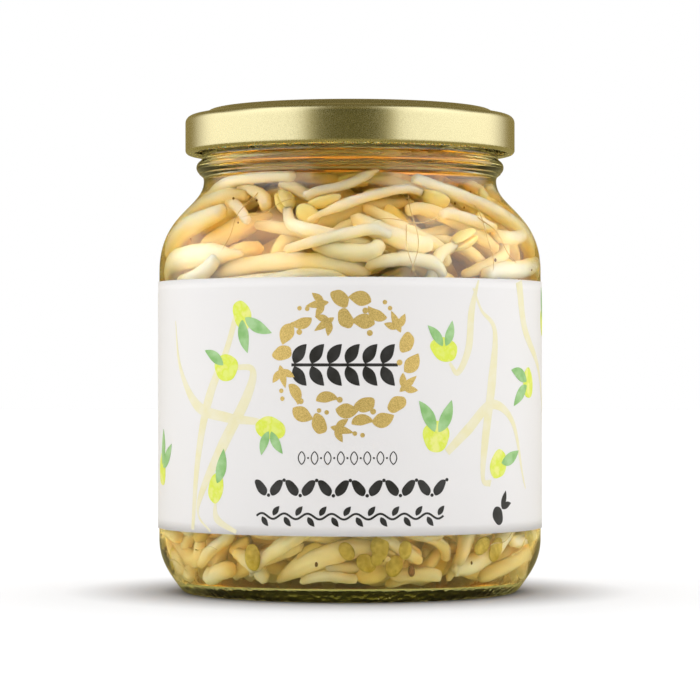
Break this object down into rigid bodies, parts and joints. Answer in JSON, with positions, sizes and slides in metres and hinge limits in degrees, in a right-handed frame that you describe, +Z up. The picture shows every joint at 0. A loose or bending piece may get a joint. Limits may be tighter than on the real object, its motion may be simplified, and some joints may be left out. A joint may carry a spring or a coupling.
{
  "type": "jar of bean sprouts",
  "caption": "Round glass jar with a waisted neck, a gold twist-off metal lid and a wrap-round paper label, packed with mung bean sprouts in amber brine.",
  "frame": {"origin": "on the surface the jar stands on, at the jar's axis", "axes": "+Z up along the jar's axis; the front of the label faces -Y, and its gap faces +Y"},
  "size_m": [0.08, 0.0799, 0.1004],
  "materials": {
    "jar_glass": "gloss",
    "lid_metal": "satin",
    "liner": "satin",
    "label_paper": "satin",
    "brine": "gloss",
    "sprout": "satin",
    "bean": "satin"
  },
  "bodies": {
    "jar": {"glass_jar": "jar_glass", "label": "label_paper", "brine": "brine", "sprout_01": "sprout", "sprout_02": "sprout", "sprout_03": "sprout", "sprout_04": "sprout", "sprout_05": "sprout", "sprout_06": "sprout", "sprout_07": "sprout", "sprout_08": "sprout", "sprout_09": "sprout", "sprout_10": "sprout", "sprout_11": "sprout", "sprout_12": "sprout", "sprout_13": "sprout", "sprout_14": "sprout", "sprout_15": "sprout", "sprout_16": "sprout", "sprout_17": "sprout", "sprout_18": "sprout", "sprout_19": "sprout", "sprout_20": "sprout", "sprout_21": "sprout", "sprout_22": "sprout", "sprout_23": "sprout", "sprout_24": "sprout", "sprout_25": "sprout", "sprout_26": "sprout", "sprout_27": "sprout", "sprout_28": "sprout", "sprout_29": "sprout", "sprout_30": "sprout", "sprout_31": "sprout", "sprout_32": "sprout", "sprout_33": "sprout", "sprout_34": "sprout", "sprout_35": "sprout", "sprout_36": "sprout", "bean_half_01": "bean", "bean_half_02": "bean", "bean_half_03": "bean", "bean_half_04": "bean"},
    "liner": {"lid_liner": "liner"},
    "cap": {"lid_cap": "lid_metal"}
  },
  "joints": [
    {"name": "lid_rise", "type": "slide", "parent": "jar", "child": "liner", "axis": [0, 0, 1], "range_m": [0, 0.00161]},
    {"name": "lid_turn", "type": "hinge", "parent": "liner", "child": "cap", "pos_m": [0, 0, 0.092], "axis": [0, 0, 1], "range_deg": [0, 50]}
  ],
  "couplings": [
    {"joint": "lid_rise", "follows": "lid_turn", "m_per_rad": 0.0018335}
  ]
}
